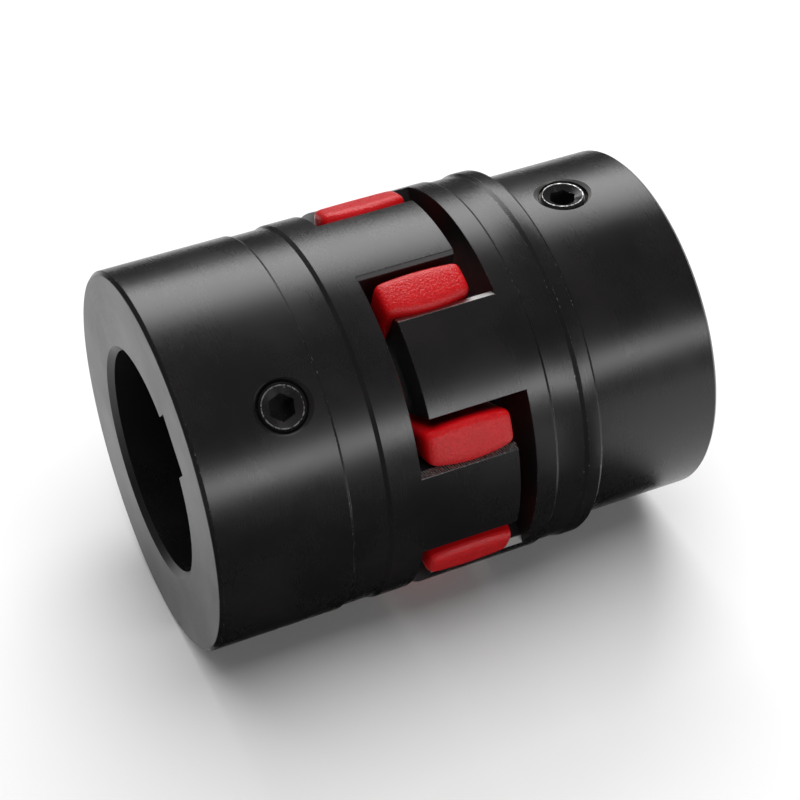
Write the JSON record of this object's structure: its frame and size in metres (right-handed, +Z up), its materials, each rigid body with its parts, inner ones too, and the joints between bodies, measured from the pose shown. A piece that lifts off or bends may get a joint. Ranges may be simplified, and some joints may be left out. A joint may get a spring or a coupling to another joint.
{
  "type": "jaw coupling",
  "caption": "Jaw coupling for two keyed shafts in line: black steel hubs whose interlocking jaws squeeze a red elastic spider, each hub locked by a set screw over its keyway.",
  "frame": {"origin": "on the shaft axis, midway between the two hubs' end faces", "axes": "+X along the shaft axis from the driving hub to the driven hub, +Z up"},
  "size_m": [0.09, 0.065, 0.065],
  "materials": {
    "hub_steel": "black oxide over fine turning",
    "spider_elastomer": "moulded satin, finely grained",
    "screw_steel": "black oiled"
  },
  "bodies": {
    "driving_hub": {"driving_hub": "hub_steel"},
    "spider": {"spider": "spider_elastomer"},
    "driven_hub": {"driven_hub": "hub_steel"},
    "driving_set_screw": {"driving_set_screw": "screw_steel"},
    "driven_set_screw": {"driven_set_screw": "screw_steel"}
  },
  "joints": [
    {"name": "wind_up", "type": "hinge", "parent": "driving_hub", "child": "spider", "pos_m": [0, 0, 0], "axis": [1, 0, 0], "range_deg": [-5, 5], "stiffness_Nm_per_rad": 50, "deforming": ["spider"]},
    {"name": "driven_hub_slide", "type": "slide", "parent": "spider", "child": "driven_hub", "axis": [1, 0, 0], "range_m": [-0.0007, 0.018]},
    {"name": "driving_screw_travel", "type": "slide", "parent": "driving_hub", "child": "driving_set_screw", "axis": [0, -0.6665, 0.7455], "range_m": [0, 0.012]},
    {"name": "driven_screw_travel", "type": "slide", "parent": "driven_hub", "child": "driven_set_screw", "axis": [0, 0.0558, 0.9984], "range_m": [0, 0.01]}
  ]
}
